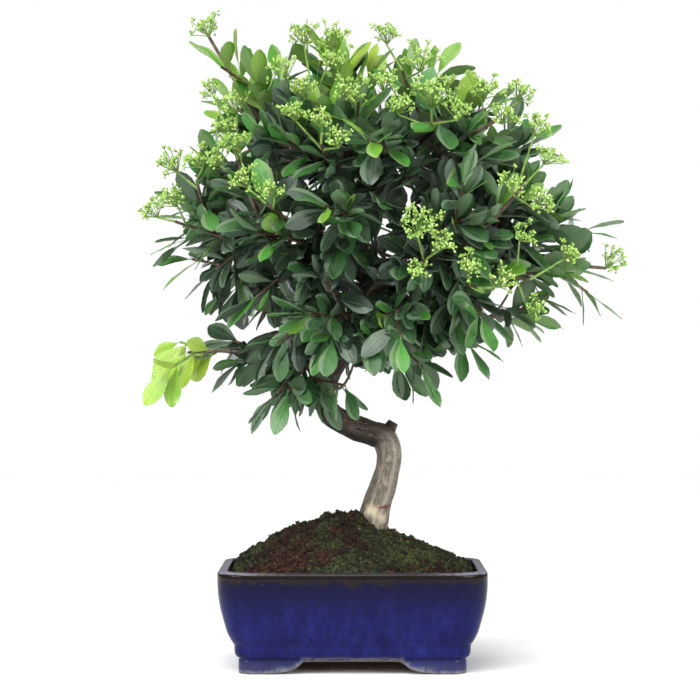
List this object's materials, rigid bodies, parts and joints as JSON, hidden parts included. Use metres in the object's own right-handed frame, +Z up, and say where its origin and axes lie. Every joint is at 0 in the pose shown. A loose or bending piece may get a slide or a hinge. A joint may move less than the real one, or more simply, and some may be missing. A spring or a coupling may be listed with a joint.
{
  "type": "firethorn bonsai in a glazed pot",
  "caption": "Firethorn bonsai in bud: curved trunk, leafy domed crown with flower-bud heads, in a footed rectangular glazed pot.",
  "frame": {"origin": "middle of the whole tree's box, at the level that the pot's feet stand on", "axes": "+Z up, along the tree's height and its longest side; +X to the right and -Y towards the picture's viewer, square to the pot's long side"},
  "size_m": [0.3652, 0.316, 0.4905],
  "materials": {
    "glaze": "gloss cobalt blue glaze, brown-black where it thins at the rim; unglazed brown inside and underneath",
    "plastic": "black plastic mesh",
    "earth": "crumbly dark earth with moss",
    "bark": "grey-brown bark, matt, with pale streaks",
    "leaf": "leathery dark green leaf, satin gloss",
    "young_leaf": "soft lime-green young leaf",
    "flower_buds": "matt yellow-green buds on thin stalks"
  },
  "bodies": {
    "root": {"pot": "glaze", "drain_mesh_left": "plastic", "drain_mesh_right": "plastic", "soil": "earth", "trunk": "bark", "buds_top_left": "flower_buds", "buds_upper_left_front": "flower_buds", "buds_left_shoulder": "flower_buds", "buds_left": "flower_buds", "buds_left_front": "flower_buds", "buds_top_front_left": "flower_buds", "buds_top_front": "flower_buds", "buds_upper_front": "flower_buds", "buds_top_right": "flower_buds", "buds_upper_front_right": "flower_buds", "buds_upper_right": "flower_buds", "buds_right_shoulder": "flower_buds", "buds_front": "flower_buds", "buds_front_right_low": "flower_buds", "buds_right": "flower_buds", "buds_far_right": "flower_buds", "buds_back_left": "flower_buds", "buds_back": "flower_buds", "buds_back_right": "flower_buds", "tuft_lime_left": "young_leaf", "tuft_low_left": "leaf", "tuft_left": "leaf", "tuft_left_shoulder": "leaf", "tuft_upper_left": "leaf", "tuft_top_left": "leaf", "tuft_top_inner_left": "leaf", "tuft_top": "leaf", "tuft_top_right": "leaf", "tuft_upper_right": "leaf", "tuft_right_shoulder": "leaf", "tuft_right_upper": "leaf", "tuft_right": "leaf", "tuft_far_right": "leaf", "tuft_low_right_tip": "leaf", "tuft_low_right": "leaf", "tuft_low_middle": "leaf", "tuft_hanging_front": "leaf", "tuft_hanging_left": "leaf", "tuft_bottom_left": "leaf", "tuft_front_upper_left": "leaf", "tuft_front_upper_right": "leaf", "tuft_front_left": "leaf", "tuft_front": "leaf", "tuft_front_right": "leaf", "tuft_front_low_left": "leaf", "tuft_front_low_right": "leaf", "tuft_right_front_low": "leaf", "tuft_right_front_upper": "leaf", "tuft_back_upper_left": "leaf", "tuft_back_upper_right": "leaf", "tuft_back_left": "leaf", "tuft_back": "leaf", "tuft_back_right": "leaf", "tuft_back_low_left": "leaf", "tuft_back_low_right": "leaf"}
  },
  "joints": []
}
